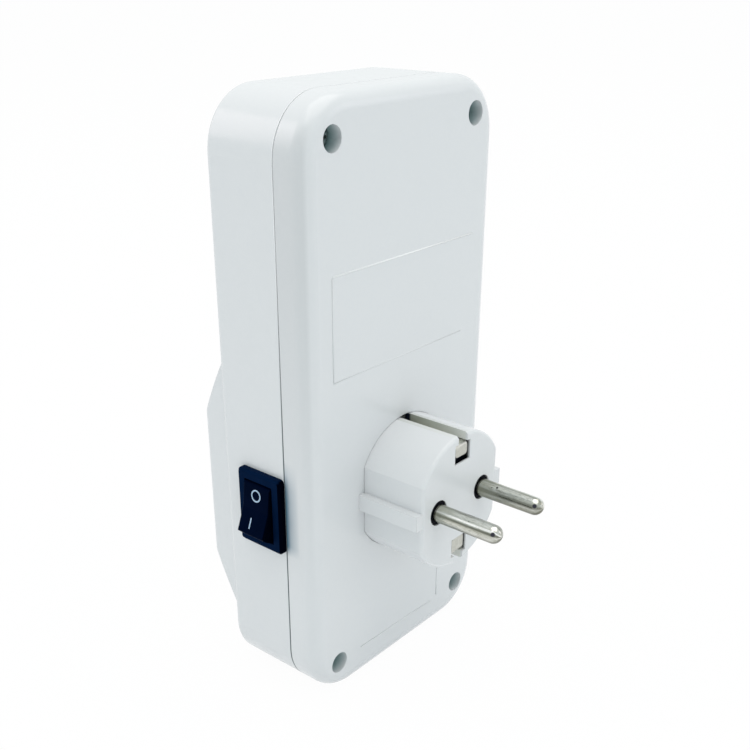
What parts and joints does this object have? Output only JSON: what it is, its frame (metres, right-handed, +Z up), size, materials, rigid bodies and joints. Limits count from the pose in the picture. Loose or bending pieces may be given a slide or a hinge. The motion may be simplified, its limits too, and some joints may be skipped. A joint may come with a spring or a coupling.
{
  "type": "voltage protector",
  "caption": "Plug-through voltage protector: rounded box with a grounded plug behind, a grounded socket in a round boss in front, and a rocker switch on the side.",
  "frame": {"origin": "middle of the flat base that the box stands on, half way between its front and rear faces", "axes": "+X across the box towards the rocker switch, +Y out of the rear face along the plug's pins, +Z up along the box's long side"},
  "size_m": [0.0778, 0.0771, 0.1563],
  "materials": {
    "case": "satin-gloss moulded ABS, very pale cool white",
    "insulator": "matte black moulded insulator",
    "nickel": "bright nickel plate",
    "brass": "plain stamped brass",
    "steel": "zinc-plated steel",
    "switch_black": "semi-gloss black nylon",
    "switch_white": "natural nylon",
    "board": "green lacquered laminate",
    "relay": "matte black",
    "film": "yellow box capacitor",
    "can": "dark sleeved can",
    "varistor": "blue dipped coating",
    "chip": "matte black",
    "led_green": "tinted clear dome",
    "led_yellow": "tinted clear dome",
    "led_red": "tinted clear dome",
    "wire_brown": "brown insulation",
    "wire_blue": "blue insulation"
  },
  "bodies": {
    "case": {"front_housing": "case", "rear_cover": "case", "case_screw_1": "steel", "case_screw_2": "steel", "case_screw_3": "steel", "case_screw_4": "steel", "pin_carrier": "insulator", "plug_pin_live": "nickel", "plug_pin_neutral": "nickel", "plug_earth_strip_top": "nickel", "plug_earth_strip_bottom": "nickel", "socket_contact_live": "brass", "socket_contact_neutral": "brass", "contact_holder": "insulator", "socket_earth_clip": "nickel", "switch_frame": "switch_black", "switch_terminal_centre": "brass", "switch_terminal_end": "brass", "circuit_board": "board", "board_screw_1": "steel", "board_screw_2": "steel", "board_screw_3": "steel", "board_screw_4": "steel", "relay": "relay", "film_capacitor": "film", "electrolytic_capacitor": "can", "varistor": "varistor", "control_chip": "chip", "led_green": "led_green", "led_yellow": "led_yellow", "led_red": "led_red", "wire_live_in": "wire_brown", "wire_switched_live": "wire_brown", "wire_live_out": "wire_brown", "wire_neutral_out": "wire_blue", "wire_neutral_in": "wire_blue"},
    "rocker": {"switch_rocker": "switch_black", "switch_plunger": "switch_white", "switch_spring": "steel"},
    "contact": {"switch_contact": "brass"}
  },
  "joints": [
    {"name": "rocker_tilt", "type": "hinge", "parent": "case", "child": "rocker", "pos_m": [0.0361, -0.0014, 0.0551], "axis": [0, 1, 0], "range_deg": [0, 28]},
    {"name": "contact_tilt", "type": "hinge", "parent": "case", "child": "contact", "pos_m": [0.0295, -0.0014, 0.0551], "axis": [0, 1, 0], "range_deg": [-16, 0]}
  ],
  "couplings": [
    {"joint": "contact_tilt", "follows": "rocker_tilt", "ratio": -0.5714}
  ]
}
